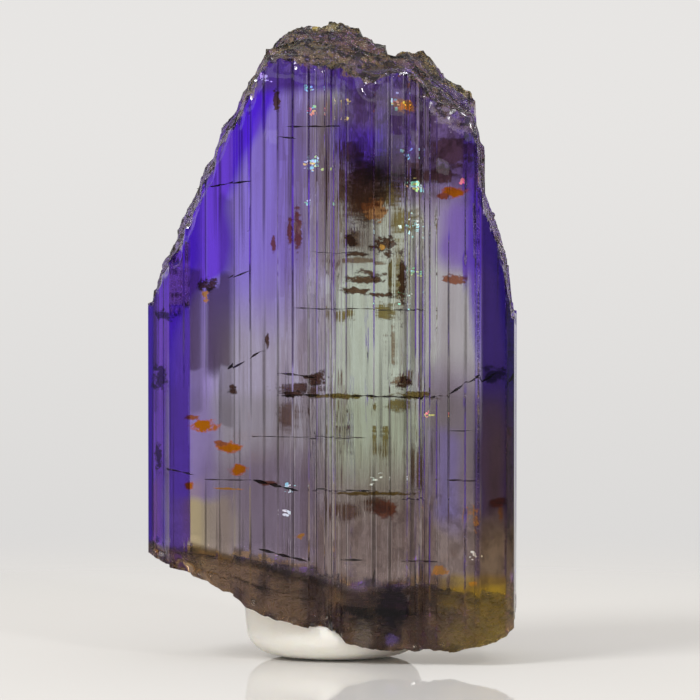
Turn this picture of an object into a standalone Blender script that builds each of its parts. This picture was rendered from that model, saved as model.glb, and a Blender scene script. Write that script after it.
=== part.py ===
"""A tanzanite crystal standing in a pad of white mounting putty.

The crystal is one piece: a flattened prism whose long faces carry striations that run its full height.
It ends in rough breaks at the top, along both upper edges and at the foot.
The foot is uneven, so the crystal stands pressed into a soft pad of putty with a flat underside.

Lengths in the tables are millimetres. X is the width, Y the depth (the front faces -Y), Z the height.
The origin is on the flat underside of the putty, below the middle of the crystal.
"""

import math
import random
from operator import mul

import bmesh
import bpy
from mathutils import Vector, noise

MM = 0.001

# Driving dimensions
CRYSTAL_WIDTH = 18.5
CRYSTAL_DEPTH = 9.6
CRYSTAL_TOP = 32.1
PUTTY_WIDTH = 9.0
PUTTY_DEPTH = 8.2
PUTTY_HEIGHT = 4.4
PUTTY_MIDDLE = (0.2, 0.3, 1.2)
PUTTY_DENTS = 0.05  # as a share of its size
CONTACT_GAP = 0.15  # left between the crystal's foot and the putty

HALF_WIDTH = CRYSTAL_WIDTH / 2
HALF_DEPTH = CRYSTAL_DEPTH / 2

# Corners of the prism seen from above, counter-clockwise from the left edge: (x, y, striations on the
# face that starts here, their depth)
PRISM_FACES = [
    (-HALF_WIDTH, 0.8, 4, 0.05),
    (-8.1, -2.2, 7, 0.10),
    (-4.9, -3.9, 20, 0.30),
    (7.3, -HALF_DEPTH, 3, 0.06),
    (8.6, -4.3, 1, 0.00),
    (9.0, -3.3, 5, 0.06),
    (HALF_WIDTH, 1.6, 4, 0.08),
    (7.6, 3.9, 16, 0.26),
    (-5.6, HALF_DEPTH, 5, 0.10),
    (-8.6, 2.9, 3, 0.05),
]

# The front face's striations follow these edges, left to right: (x, inset of the strip that starts there)
FRONT_STRIPS = [
    (-4.9, 0.00),
    (-4.1, 0.14),
    (-3.4, 0.06),
    (-2.7, 0.22),
    (-2.0, 0.12),
    (-1.2, 0.30),
    (-0.4, 0.16),
    (0.1, 0.34),
    (0.6, 0.20),
    (1.4, 0.08),
    (2.0, 0.26),
    (2.8, 0.10),
    (3.4, 0.24),
    (3.8, 0.12),
    (4.3, 0.32),
    (4.9, 0.18),
    (5.7, 0.06),
    (6.5, 0.16),
    (7.0, 0.00),
]
RISER_WIDTH = 0.07  # of the small step between two strips
STRIP_LEAN = 0.8  # a strip's inset at its far side, as a share of that at its near side

# The broken outline seen from the front, counter-clockwise from the lower left, at the front of the
# crystal and at its back: (front x, front z, back x, back z). Where the prism's own sides show, the
# outline runs outside them by CLEAR.
CLEAR = HALF_WIDTH + 0.7
FOOT_BREAK = [
    (-CLEAR, 5.00, -CLEAR, 5.50),
    (-8.8, 4.70, -8.8, 5.35),
    (-7.6, 4.25, -7.6, 5.30),
    (-6.4, 3.75, -6.4, 5.20),
    (-5.2, 3.40, -5.2, 5.15),
    (-4.6, 3.05, -4.6, 5.10),
    (-4.3, 2.65, -4.2, 4.95),
    (-3.4, 2.20, -3.4, 4.80),
    (-1.9, 1.70, -1.9, 4.60),
    (-0.3, 1.50, -0.3, 4.40),
    (0.2, 1.15, 0.3, 4.10),
    (0.6, 0.85, 0.8, 3.80),
    (1.4, 0.65, 1.6, 3.75),
    (2.6, 0.50, 2.6, 3.75),
    (4.7, 0.55, 4.7, 4.00),
    (5.5, 0.45, 5.5, 3.90),
    (6.4, 0.68, 6.4, 3.60),
    (8.0, 1.00, 8.0, 3.10),
    (8.6, 1.30, 8.6, 2.90),
    (9.0, 1.60, 9.0, 2.80),
    (CLEAR, 1.90, CLEAR, 2.80),
]
RIGHT_BREAK = [
    (CLEAR, 16.9, CLEAR, 17.1),
    (8.8, 17.3, 9.2, 17.5),
    (8.5, 18.6, 9.0, 18.8),
    (8.3, 20.0, 8.8, 20.3),
    (7.9, 21.2, 8.4, 21.5),
    (7.5, 22.4, 8.0, 22.7),
    (7.3, 23.1, 7.7, 23.3),
    (7.2, 23.9, 7.5, 23.9),
    (7.2, 25.1, 7.6, 25.1),
    (7.1, 26.1, 7.4, 26.3),
]
TOP_BREAK = [
    (6.9, 26.9, 7.0, 27.4),
    (6.3, 27.3, 6.7, 28.2),
    (5.7, 27.5, 6.2, 28.8),
    (5.2, 27.6, 5.6, 29.6),
    (4.7, 27.9, 5.0, 30.0),
    (4.2, 28.9, 4.4, 30.2),
    (3.6, 29.3, 3.8, 30.5),
    (3.0, 29.2, 3.2, 30.4),
    (2.4, 29.0, 2.6, 30.7),
    (1.9, 28.9, 2.0, 30.9),
    (1.3, 29.0, 1.4, 31.8),
    (0.8, 29.1, 0.8, 32.0),
    (0.2, 29.3, 0.2, CRYSTAL_TOP),
    (-0.4, 29.6, -0.4, 31.9),
    (-1.5, 29.7, -1.6, 31.9),
    (-2.1, 29.8, -2.2, 31.5),
    (-2.7, 29.8, -2.8, 30.8),
    (-3.2, 29.7, -3.4, 30.2),
]
LEFT_BREAK = [
    (-3.5, 29.2, -3.9, 29.3),
    (-4.1, 28.0, -4.6, 28.1),
    (-4.6, 26.8, -5.1, 26.9),
    (-4.9, 26.3, -5.5, 26.3),
    (-5.5, 25.0, -6.0, 25.1),
    (-6.2, 23.9, -6.6, 23.9),
    (-6.6, 22.6, -7.1, 22.7),
    (-7.2, 21.4, -7.8, 21.5),
    (-7.7, 20.2, -8.3, 20.3),
    (-8.2, 19.0, -9.0, 19.1),
    (-8.8, 17.8, -9.1, 17.9),
    (-CLEAR, 17.0, -CLEAR, 17.0),
]

# Roughness of each break: (rows, height of its lumps, their size)
BREAKS = [
    (FOOT_BREAK, 0.18, 2.0),
    (RIGHT_BREAK, 0.34, 1.2),
    (TOP_BREAK, 0.70, 1.4),
    (LEFT_BREAK, 0.40, 1.2),
]
CHIP_TILT = 1.1  # how much of a lump's height its chip's slope makes
ROW_SPACING = 0.42
DEPTH_ROWS = 27
REACH = HALF_DEPTH + 0.8  # how far the breaks run past the prism's front and back


def striated_edge(start, end, strips):
    """Points from start towards end, stepped inwards by each strip's inset. strips holds (share, inset)."""
    start, end = Vector(start), Vector(end)
    along = end - start
    inward = Vector((-along.y, along.x)).normalized()
    riser = RISER_WIDTH / along.length
    points = [start]
    for (share, inset), (next_share, _) in zip(strips, [*strips[1:], (1.0, 0.0)]):
        points.append(start + along * (share + riser) + inward * inset)
        points.append(start + along * (next_share - riser / 5) + inward * inset * STRIP_LEAN)
    return points


def random_strips(count, depth, rng):
    """count strips of uneven width, each with its own inset. Those beside the prism's corners have none."""
    cuts = [(i + rng.uniform(-0.3, 0.3)) / count for i in range(1, count)]
    insets = [rng.uniform(0.1, 1.0) * depth for _ in cuts[1:]]
    return list(zip([0.0, *cuts], [0.0, *insets, 0.0]))


def prism_plan():
    """The prism's outline seen from above, with a step at every striation."""
    rng = random.Random(11)
    plan = []
    for (x, y, count, depth), following in zip(PRISM_FACES, PRISM_FACES[1:] + PRISM_FACES[:1]):
        start, end = (x, y), following[:2]
        if start == PRISM_FACES[2][:2]:
            width = end[0] - x
            strips = [((edge - x) / width, inset) for edge, inset in FRONT_STRIPS]
        else:
            strips = random_strips(count, depth, rng)
        plan += striated_edge(start, end, strips)
    return plan


def new_object(name, bm, collection):
    """A mesh object in metres from a bmesh in millimetres."""
    bmesh.ops.recalc_face_normals(bm, faces=bm.faces)
    bmesh.ops.scale(bm, vec=(MM, MM, MM), verts=bm.verts)
    mesh = bpy.data.meshes.new(name)
    bm.to_mesh(mesh)
    bm.free()
    obj = bpy.data.objects.new(name, mesh)
    collection.objects.link(obj)
    return obj


def striated_prism(name, collection):
    """The whole prism before it broke: its plan pushed up along Z."""
    bm = bmesh.new()
    face = bm.faces.new([bm.verts.new((p.x, p.y, -1.0)) for p in prism_plan()])
    pushed = bmesh.ops.extrude_face_region(bm, geom=[face])["geom"]
    top = [v for v in pushed if isinstance(v, bmesh.types.BMVert)]
    bmesh.ops.translate(bm, vec=(0, 0, CRYSTAL_TOP + 2.0), verts=top)
    return new_object(name, bm, collection)


def resampled(rows):
    """Rows of the broken outline, evenly spaced at about ROW_SPACING along the back."""
    found = []
    for a, b in zip(rows, rows[1:]):
        length = math.hypot(b[2] - a[2], b[3] - a[3])
        steps = max(1, round(length / ROW_SPACING))
        found += [[p + (q - p) * i / steps for p, q in zip(a, b)] for i in range(steps)]
    return [*found, list(rows[-1])]


def lumps(point, size):
    """Height of a rough break at a point, about -1 to 1: swells, with flat chips that tilt each way."""
    place = point / size
    chip = noise.voronoi(place)[1][0]
    slope = noise.noise_vector(chip * 3.7).dot(place - chip)
    return (noise.noise(place / 2) + noise.noise(chip * 2.1)) / 2 + CHIP_TILT * slope


def rough_path(path, y, height, size):
    """One break's points at a depth y, each moved out or in by its lump. The first and last stay in place."""
    back = 0.5 + y / CRYSTAL_DEPTH
    points = []
    for i, (front_x, front_z, back_x, back_z) in enumerate(path):
        flat = Vector((front_x + (back_x - front_x) * back, y, front_z + (back_z - front_z) * back))
        if 0 < i < len(path) - 1:
            ahead, behind = path[i + 1], path[i - 1]
            outward = Vector((ahead[3] - behind[3], 0, behind[2] - ahead[2])).normalized()
            flat += outward * lumps(flat, size) * height
        points.append(flat)
    return points


def broken_block(name, collection, drop=0.0):
    """The broken outline carried from front to back: what is left of the prism lies in it."""
    bm = bmesh.new()
    loops = []
    for j in range(DEPTH_ROWS):
        y = REACH * (2 * j / (DEPTH_ROWS - 1) - 1)
        points = [p for rows, height, size in BREAKS for p in rough_path(resampled(rows), y, height, size)]
        loops.append([bm.verts.new(p - Vector((0, 0, drop))) for p in points])
    for a, b in zip(loops, loops[1:]):
        for i in range(len(a)):
            k = (i + 1) % len(a)
            bm.faces.new((a[i], a[k], b[k], b[i]))
    bm.faces.new(loops[0])
    bm.faces.new(loops[-1])
    return new_object(name, bm, collection)


def helper(obj):
    """Marks an object that only shapes others."""
    obj.hide_render = True
    obj.display_type = "WIRE"
    return obj


def cut(obj, operation, cutter):
    modifier = obj.modifiers.new(operation.title(), "BOOLEAN")
    modifier.operation = operation
    modifier.object = cutter


def putty_ball(name, collection):
    """A ball of putty pressed wide and cut flat where it stuck to the table."""
    bm = bmesh.new()
    bmesh.ops.create_uvsphere(bm, u_segments=40, v_segments=20, radius=1.0)
    centre = Vector(PUTTY_MIDDLE)
    half = Vector((PUTTY_WIDTH / 2, PUTTY_DEPTH / 2, PUTTY_HEIGHT - centre.z))
    for v in bm.verts:
        dents = 1 + PUTTY_DENTS * noise.noise(v.co * 1.7)
        v.co = centre + Vector(map(mul, v.co, half)) * dents
    everything = bm.verts[:] + bm.edges[:] + bm.faces[:]
    floor = {"plane_co": (0, 0, 0), "plane_no": (0, 0, -1)}
    bottom = bmesh.ops.bisect_plane(bm, geom=everything, **floor, clear_outer=True)
    rim = [e for e in bottom["geom_cut"] if isinstance(e, bmesh.types.BMEdge)]
    bmesh.ops.contextual_create(bm, geom=rim)
    return new_object(name, bm, collection)


def surface(name, colour, roughness, transmission=0.0):
    material = bpy.data.materials.new(name)
    material.use_nodes = True
    shader = material.node_tree.nodes["Principled BSDF"]
    shader.inputs["Base Color"].default_value = (*colour, 1)
    shader.inputs["Roughness"].default_value = roughness
    shader.inputs["Metallic"].default_value = 0.0
    shader.inputs["Transmission Weight"].default_value = transmission
    if transmission:
        shader.inputs["IOR"].default_value = 1.69
    return material


def main():
    for obj in list(bpy.data.objects):
        bpy.data.objects.remove(obj)
    part = bpy.data.collections.new("tanzanite_crystal")
    cutters = bpy.data.collections.new("cutters")
    for collection in (part, cutters):
        bpy.context.scene.collection.children.link(collection)

    crystal = striated_prism("crystal", part)
    cut(crystal, "INTERSECT", helper(broken_block("broken_outline", cutters)))
    crystal.data.materials.append(surface("tanzanite", (0.32, 0.24, 0.62), 0.08, transmission=0.9))

    putty = putty_ball("putty", part)
    cut(putty, "DIFFERENCE", helper(broken_block("crystal_foot", cutters, drop=CONTACT_GAP)))
    putty.data.materials.append(surface("putty", (0.78, 0.74, 0.64), 0.7))


main()
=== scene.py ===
"""The looks of a tanzanite crystal that stands in a pad of mounting putty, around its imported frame.

Tables and sizes are in millimetres, in the frame's axes: X across the broad front face, Y towards the
back, Z up along the crystal, from the putty's underside. Meshes are made in millimetres and scaled.
"""

import math
import random

import bmesh
import bpy
import numpy as np
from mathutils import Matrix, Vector, noise
from mathutils.bvhtree import BVHTree


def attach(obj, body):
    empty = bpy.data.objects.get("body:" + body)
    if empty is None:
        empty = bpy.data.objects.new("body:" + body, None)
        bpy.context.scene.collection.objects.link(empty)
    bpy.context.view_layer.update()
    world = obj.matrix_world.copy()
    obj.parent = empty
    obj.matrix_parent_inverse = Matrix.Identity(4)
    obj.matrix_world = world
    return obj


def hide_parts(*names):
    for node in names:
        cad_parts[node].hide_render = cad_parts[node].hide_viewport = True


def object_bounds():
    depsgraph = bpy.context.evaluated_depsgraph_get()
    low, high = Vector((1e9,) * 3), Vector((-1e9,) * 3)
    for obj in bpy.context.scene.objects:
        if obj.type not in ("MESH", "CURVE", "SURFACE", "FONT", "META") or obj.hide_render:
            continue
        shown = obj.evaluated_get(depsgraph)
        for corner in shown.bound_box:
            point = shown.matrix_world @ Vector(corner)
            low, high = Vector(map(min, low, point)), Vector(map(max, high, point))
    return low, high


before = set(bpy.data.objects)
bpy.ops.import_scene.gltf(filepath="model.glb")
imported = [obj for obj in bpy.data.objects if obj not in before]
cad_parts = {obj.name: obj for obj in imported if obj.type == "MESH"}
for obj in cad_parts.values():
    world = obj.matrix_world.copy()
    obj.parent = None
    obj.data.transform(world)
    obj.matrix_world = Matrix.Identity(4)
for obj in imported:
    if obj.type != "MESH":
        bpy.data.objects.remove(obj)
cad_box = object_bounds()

MM = 0.001  # a millimetre in metres

# The camera: a long lens, nearly level with the crystal's middle, looking along +Y as the photograph does.
PICTURE_WIDTH = 35.0
PICTURE_MIDDLE = Vector((0.875, 0.0, 15.4))
LENS = 300.0
SENSOR = 36.0
CAMERA_ELEVATION = math.radians(2.5)
CAMERA_DISTANCE = PICTURE_WIDTH * LENS / SENSOR

long_lens = bpy.data.cameras.new("camera")
long_lens.lens = LENS
long_lens.sensor_width = SENSOR
long_lens.clip_start = 0.01
camera = bpy.data.objects.new("camera", long_lens)
bpy.context.scene.collection.objects.link(camera)
towards_camera = Vector((0, -math.cos(CAMERA_ELEVATION), math.sin(CAMERA_ELEVATION)))
camera.location = (PICTURE_MIDDLE + towards_camera * CAMERA_DISTANCE) * MM
camera.rotation_euler = (math.pi / 2 - CAMERA_ELEVATION, 0, 0)
bpy.context.scene.camera = camera


# The crystal: one clear tanzanite prism, deep violet along its edges and pale in the middle. Its long faces
# are growth faces with steps that run up the crystal. The ends and upper edges are broken and stained brown.
# It is made as one closed mesh, wall and breaks together, and stands with its foot pressed into the putty.
HALF_WIDTH = 9.25
HALF_DEPTH = 4.8

# Corners seen from above, counter-clockwise from the left edge: (x, y, strips on the face that starts
# here, their depth). The strips of the front face have a table of their own.
PRISM_FACES = [
    (-HALF_WIDTH, 0.8, 3, 0.02),
    (-8.1, -2.2, 4, 0.02),
    (-4.9, -3.9, 0, 0.30),
    (7.3, -HALF_DEPTH, 2, 0.03),
    (8.6, -4.3, 1, 0.0),
    (9.0, -3.3, 5, 0.05),
    (HALF_WIDTH, 1.6, 4, 0.06),
    (7.6, 3.9, 8, 0.08),
    (-5.6, HALF_DEPTH, 2, 0.02),
    (-8.6, 2.9, 1, 0.0),
]
FRONT_FACE = 2

# The steps of the front face, from left to right: (x, inset of the strip that starts there)
FRONT_STRIPS = [
    (-4.9, 0.00),
    (-4.1, 0.03),
    (-3.4, 0.06),
    (-2.7, 0.03),
    (-2.0, 0.09),
    (-1.2, 0.26),
    (-0.4, 0.10),
    (-0.1, 0.34),
    (0.1, 0.16),
    (0.65, 0.26),
    (2.0, 0.12),
    (2.8, 0.22),
    (3.55, 0.34),
    (3.8, 0.24),
    (4.25, 0.36),
    (4.5, 0.14),
    (5.1, 0.20),
    (5.7, 0.10),
    (6.5, 0.08),
    (7.0, 0.00),
]
LINED = [(-1.4, 0.6), (3.3, 4.6)]  # where the lines are close together, across the front
PLAIN_DEPTH = 0.3  # how deep the other faces' steps are further out, as a share
PLAN_STEP = 0.13
SIDE_PLAN_STEP = 0.062  # past SIDE_START, where the breaks are steep
SIDE_START = 6.6
WALL_ROWS = 74
TOP_RINGS = 38
FOOT_RINGS = 16
SPINE_REACH = 6.6  # the rings of a break shrink to a line this far to both sides of the middle
SPINE_Y = 0.2
TOP_RELIEF = 0.9
FOOT_RELIEF = 0.5


def lerp(a, b, share):
    return a + (b - a) * share


def main_strips(index, width, rng):
    """The strips of a face, from left to right in its own direction, as (share of its width, inset)."""
    x, _, count, depth = PRISM_FACES[index]
    if index == FRONT_FACE:
        return [((edge - x) / width, inset) for edge, inset in FRONT_STRIPS]
    cuts = [(i + rng.uniform(-0.3, 0.3)) / count for i in range(1, count)]
    strips = [(0.0, 0.0)]
    for cut in cuts:
        depth_share = 1.0 if LINED[0][0] < x + cut * width < LINED[1][1] else PLAIN_DEPTH
        strips.append((cut, rng.uniform(0.1, 1.0) * depth * depth_share))
    return strips


def face_strips(index, rng):
    """A face's strips as (share of its width, inset, strength of its first edge). Fainter ones split some."""
    x, _, _, depth = PRISM_FACES[index]
    width = PRISM_FACES[(index + 1) % len(PRISM_FACES)][0] - x
    main = main_strips(index, width, rng)
    strips = []
    for (share, inset), (following, _) in zip(main, [*main[1:], (1.0, 0.0)]):
        strips.append((share, inset, 1.0))
        lined = index == FRONT_FACE and any(low < x + share * width < high for low, high in LINED)
        splits = rng.choice((1, 1, 2)) if lined else rng.choice((0, 0, 0, 1))
        for k in range(splits):
            faint = inset + rng.uniform(-0.16, 0.16) * depth
            place = lerp(share, following, (k + rng.uniform(0.6, 1.3)) / (splits + 1))
            strips.append((place, max(0.002, faint), rng.uniform(0.0, 0.5)))
    return sorted(strips)


def prism_plan():
    """Points round the prism: rows of (x, y, inward x, inward y, inset, strip number, edge strength)."""
    rng = random.Random(5)
    rows = []
    strip_number = 0
    for index, (x, y, _, _) in enumerate(PRISM_FACES):
        start = Vector((x, y))
        along = Vector(PRISM_FACES[(index + 1) % len(PRISM_FACES)][:2]) - start
        inward = Vector((-along.y, along.x)).normalized()
        strips = face_strips(index, rng)
        rows.append((x, y, *inward, 0.0, strip_number, 0.0))
        for (share, inset, strength), (following, _, _) in zip(strips, [*strips[1:], (1.0, 0.0, 0.0)]):
            strip_number += 1
            first = share + rng.uniform(0.03, 0.09) / along.length
            length = (following - first) * along.length
            step = SIDE_PLAN_STEP if abs((start + along * share).x) > SIDE_START else PLAN_STEP
            count = max(1, round(length / step))
            tilt = rng.uniform(-0.035, 0.035) * length if inset else 0.0
            last = count if following < 1.0 else count - 1
            for k in range(last + 1):
                place = start + along * lerp(first, following, k / count)
                tilted = inset and max(0.001, inset + lerp(-tilt, tilt, k / count))
                rows.append((*place, *inward, tilted, strip_number, strength * (k in (0, count))))
    return np.array(rows)


def cad_heights(name):
    """Two functions of a place: the CAD node's height seen from above and from below."""
    cad_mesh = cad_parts[name].data
    tree = BVHTree.FromPolygons([v.co for v in cad_mesh.vertices], [p.vertices for p in cad_mesh.polygons])

    def height(x, y, down):
        """Looks at the place, and then ever nearer the middle where only a wall or nothing is there."""
        for inward in (0.0, 0.03, 0.06, 0.09, 0.13, 0.2, 0.3):
            start = Vector((x * (1 - inward * 0.2), y * (1 - inward), 50 if down else -50)) * MM
            hit, normal = tree.ray_cast(start, Vector((0, 0, -1 if down else 1)))[:2]
            if hit and abs(normal.z) > 0.03:
                return hit.z / MM
        raise ValueError(f"{name} has no break at {x:.2f}, {y:.2f}")

    return lambda x, y: height(x, y, True), lambda x, y: height(x, y, False)


def grains(point):
    """Relief of a granular break at a point, in millimetres: knobs a millimetre wide, with grains on them."""
    knobs = noise.noise(point * 0.9)
    lumps = noise.noise(point * 2.7 + Vector((5, 2, 8)))
    chips = noise.voronoi(point * 1.9)[0]
    splinters = noise.voronoi(point * 4.3 + Vector((9, 4, 1)))[0]
    sharp = 0.13 * (chips[1] - chips[0]) + 0.08 * (splinters[1] - splinters[0])
    return 0.13 * knobs + 0.08 * lumps + sharp - 0.08


def mesh_object(name, points, faces, material):
    """A closed mesh in metres from points in millimetres, with its faces turned outward."""
    mesh = bpy.data.meshes.new(name)
    mesh.from_pydata([tuple(p) for p in np.asarray(points) * MM], [], faces)
    bm = bmesh.new()
    bm.from_mesh(mesh)
    bmesh.ops.recalc_face_normals(bm, faces=bm.faces)
    bm.to_mesh(mesh)
    bm.free()
    mesh.materials.append(material)
    obj = bpy.data.objects.new(name, mesh)
    bpy.context.scene.collection.objects.link(obj)
    return obj


def broken_point(surface, side, x, y, edge=False):
    """A point of a break: the CAD's surface, which grains push out along its slope. side is 1 at the top."""
    reach = 0.25
    z = surface(x, y)
    relief = grains(Vector((x, y, z))) * (TOP_RELIEF if side > 0 else FOOT_RELIEF)
    if edge:
        return Vector((x, y, z + side * relief))
    slope_x = (surface(x + reach, y) - surface(x - reach, y)) / (2 * reach)
    slope_y = (surface(x, y + reach) - surface(x, y - reach)) / (2 * reach)
    out = Vector((-slope_x, -slope_y, 1.0)).normalized() * side
    return Vector((x, y, z)) + out * relief


def wall_inset(row, z, below_top, above_foot):
    """How far the wall stands in from its face at a height: the strip's step with its stops, and chips."""
    inset, strip = row[4], row[5]
    if inset == 0.0:
        return 0.0
    life = 0.62 + 1.5 * noise.noise(Vector((strip * 7.3, 1.5, z * 0.11)))
    stops = noise.cell(Vector((strip * 7.3, math.floor(z * 0.16 + strip * 0.37), 3.0)))
    wander = 0.022 * noise.noise(Vector((strip * 3.1, 0.0, z * 0.09)))
    depth = inset * (max(0.12, min(1.25, life)) + 0.2 * stops) + min(1.0, inset * 8) * wander
    near_break = max(0.0, 0.7 - min(below_top, above_foot))
    chip = max(0.0, noise.noise(Vector((row[0] * 1.5, row[1], z * 1.5))) + 0.3) * near_break * 0.7
    return max(0.0, depth) + chip


def cap_faces(outer, inner):
    """Faces between two rings of the same number of points."""
    count = len(outer)
    return [(outer[i], outer[(i + 1) % count], inner[(i + 1) % count], inner[i]) for i in range(count)]


def row_share(j):
    """How far up the wall a row of faces starts: the rows crowd towards the breaks."""
    share = j / WALL_ROWS
    return lerp(share, share * share * (3 - 2 * share), 0.72)


def point_values(mesh, name, values, domain="POINT"):
    """Stores a number for each point or face of a mesh, for its material to read."""
    mesh.attributes.new(name, "FLOAT", domain).data.foreach_set("value", values)


def wall_rings(plan, ends):
    """The wall from the foot up: its points, how far each is from the nearer break, and its rings."""
    points, to_break, rings = [], [], []
    for j in range(WALL_ROWS + 1):
        ring = []
        for row, (low, high) in zip(plan, ends):
            z = lerp(low, high, row_share(j))
            inset = wall_inset(row, z, high - z, z - low)
            ring.append(len(points))
            points.append((row[0] + row[2] * inset, row[1] + row[3] * inset, z))
            to_break.append(min(high - z, z - low))
        rings.append(ring)
    return points, to_break, rings


def add_break(points, faces, ring, surface, side, count):
    """Closes an end of the wall with a break: rings of points that shrink to a line in the middle."""
    outer = ring
    for j in range(1, count + 1):
        share = j / (count + 0.4)
        inner = []
        for index in ring:
            x, y, _ = points[index]
            spine_x = max(-SPINE_REACH, min(SPINE_REACH, x))
            inner.append(len(points))
            point = broken_point(surface, side, lerp(x, spine_x, share), lerp(y, SPINE_Y, share))
            points.append(tuple(point))
        faces += cap_faces(outer, inner)
        outer = inner
    faces.append(tuple(outer))


def crystal_mesh(material):
    """The crystal as one closed mesh, with the numbers that its material reads."""
    plan = prism_plan()
    top_of, foot_of = cad_heights("crystal")
    ends = []
    for x, y in plan[:, :2]:
        low = broken_point(foot_of, -1, x, y, edge=True).z
        ends.append((low, broken_point(top_of, 1, x, y, edge=True).z))
    points, to_break, rings = wall_rings(plan, ends)
    faces = []
    for lower, upper in zip(rings, rings[1:]):
        faces += cap_faces(lower, upper)
    wall_points = len(points)
    wall_faces = len(faces)
    add_break(points, faces, rings[-1], top_of, 1, TOP_RINGS)
    add_break(points, faces, rings[0], foot_of, -1, FOOT_RINGS)
    box = [np.array(corner) / MM for corner in cad_box]
    points = np.clip(np.array(points), box[0] + 1e-3, box[1] - 1e-3)
    obj = mesh_object("crystal_body", points, faces, material)
    break_points = np.zeros(len(points) - wall_points)
    point_values(obj.data, "broken", [float(i >= wall_faces) for i in range(len(faces))], "FACE")
    point_values(obj.data, "to_break", [*to_break, *break_points])
    for name, values in (("groove", plan[:, 6]), ("strip", np.sin(plan[:, 5] * 12.9))):
        point_values(obj.data, name, np.concatenate([np.tile(values, len(rings)), break_points]))
    return obj


def material_of(name):
    """A new material with its node tree and its Principled shader."""
    material = bpy.data.materials.new(name)
    material.use_nodes = True
    return material, material.node_tree, material.node_tree.nodes["Principled BSDF"]


def node(tree, kind, values=(), output=0, **settings):
    """Adds a shader node and returns one of its outputs. values pairs inputs with what goes into them."""
    made = tree.nodes.new("ShaderNode" + kind)
    for setting, value in settings.items():
        setattr(made, setting, value)
    for place, value in values:
        if isinstance(value, bpy.types.NodeSocket):
            tree.links.new(value, made.inputs[place])
        else:
            made.inputs[place].default_value = value
    return made.outputs[output]


def calc(tree, operation, a, b=0.0):
    """A sum, product or other calculation with numbers."""
    return node(tree, "Math", [(0, a), (1, b)], operation=operation)


def product(tree, *factors):
    """Several masks multiplied."""
    result = factors[0]
    for factor in factors[1:]:
        result = calc(tree, "MULTIPLY", result, factor)
    return result


def rise(tree, value, low, high):
    """0 below low, 1 above high, with a smooth rise between. Where low is over high, it falls."""
    levels = [("Value", value), ("From Min", low), ("From Max", high)]
    return node(tree, "MapRange", levels, interpolation_type="SMOOTHSTEP")


def mixed(tree, share, a, b, blend="MIX"):
    """Colour a turned into colour b by a share."""
    first, second = ((*colour, 1) if isinstance(colour, tuple) else colour for colour in (a, b))
    values = [(0, share), (6, first), (7, second)]
    return node(tree, "Mix", values, output=2, data_type="RGBA", blend_type=blend)


def stretched(tree, place, x, y, z):
    """A place with its coordinates multiplied."""
    return node(tree, "VectorMath", [(0, place), (1, (x, y, z))], operation="MULTIPLY")


def cloud(tree, place, scale, detail=2.0, roughness=0.5):
    """Smooth noise from 0 to 1."""
    values = [("Vector", place), ("Scale", scale), ("Detail", detail), ("Roughness", roughness)]
    return node(tree, "TexNoise", values)


CURVE_START = -10  # a border's curve holds coordinates from here on
CURVE_LENGTH = 42


def border(tree, along, places):
    """Where a growth zone's border runs: one coordinate as a curve over the other, from places along it."""
    made = tree.nodes.new("ShaderNodeFloatCurve")
    curve = made.mapping.curves[0]
    spots = [tuple((value - CURVE_START) / CURVE_LENGTH for value in spot) for spot in places]
    curve.points[0].location = spots[0]
    curve.points[1].location = spots[-1]
    for spot in spots[1:-1]:
        curve.points.new(*spot)
    made.mapping.update()
    share = calc(tree, "DIVIDE", calc(tree, "SUBTRACT", along, CURVE_START), CURVE_LENGTH)
    tree.links.new(share, made.inputs["Value"])
    return calc(tree, "ADD", calc(tree, "MULTIPLY", made.outputs[0], CURVE_LENGTH), CURVE_START)


def beyond(tree, value, limit, soft):
    """1 where a value is over a limit, 0 under it, with a soft border. A negative soft turns it round."""
    if isinstance(limit, bpy.types.NodeSocket):
        value = calc(tree, "SUBTRACT", value, limit)
        limit = 0.0
    return rise(tree, value, limit - soft, limit + soft)


def zone(tree, x, z, left, right, low, high, soft):
    """A patch of the crystal between two places across it and two heights."""
    sides = product(tree, beyond(tree, x, left, soft), beyond(tree, x, right, -soft))
    return product(tree, sides, beyond(tree, z, low, soft), beyond(tree, z, high, -soft))


def nearest_stain(tree, place, spots):
    """How far a place is from the nearest of several elliptic stains, in half sizes.

    A spot is (x, z, half width, half height, side): close under the front face where side is -1, near the
    back at 1, and right through at 0.
    """
    nearest = 9.0
    for x, z, wide, tall, side in spots:
        scale = (1 / wide, 0.2 * abs(side), 1 / tall)
        shift = (-x / wide, -0.92 * side, -z / tall)
        spread = node(tree, "VectorMath", [(0, place), (1, scale), (2, shift)], operation="MULTIPLY_ADD")
        far = node(tree, "VectorMath", [(0, spread)], "Value", operation="LENGTH")
        nearest = calc(tree, "MINIMUM", far, nearest)
    return nearest


# What the stone's zones let through, where light enters and where it leaves
VIOLET = (0.12, 0.022, 1.0)
TOP_VIOLET = (0.12, 0.05, 0.42)
LILAC = (0.37, 0.27, 0.92)
RIGHT_VIOLET = (0.30, 0.19, 0.60)
LEFT_LILAC = (0.36, 0.24, 0.86)
PALE_LILAC = (0.58, 0.54, 0.68)
PALE_GREY = (0.62, 0.61, 0.60)
GREY_LILAC = (0.36, 0.31, 0.37)
GREY_BROWN = (0.30, 0.25, 0.22)
CLEAR = (0.71, 0.82, 0.64)
MAUVE = (0.43, 0.34, 0.33)
FAINT_VIOLET = (0.36, 0.29, 0.62)
LOW_LILAC = (0.36, 0.29, 0.42)
BEIGE = (0.72, 0.60, 0.36)
DUSK = (0.17, 0.10, 0.30)
DEEP_VIOLET = (0.10, 0.03, 0.60)
NIGHT = (0.006, 0.0015, 0.07)
TOP_SMOKE = (0.22, 0.14, 0.36)
SMOKE = (0.030, 0.012, 0.020)
UMBER = (0.24, 0.14, 0.06)
SHADE = (0.045, 0.016, 0.026)
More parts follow.
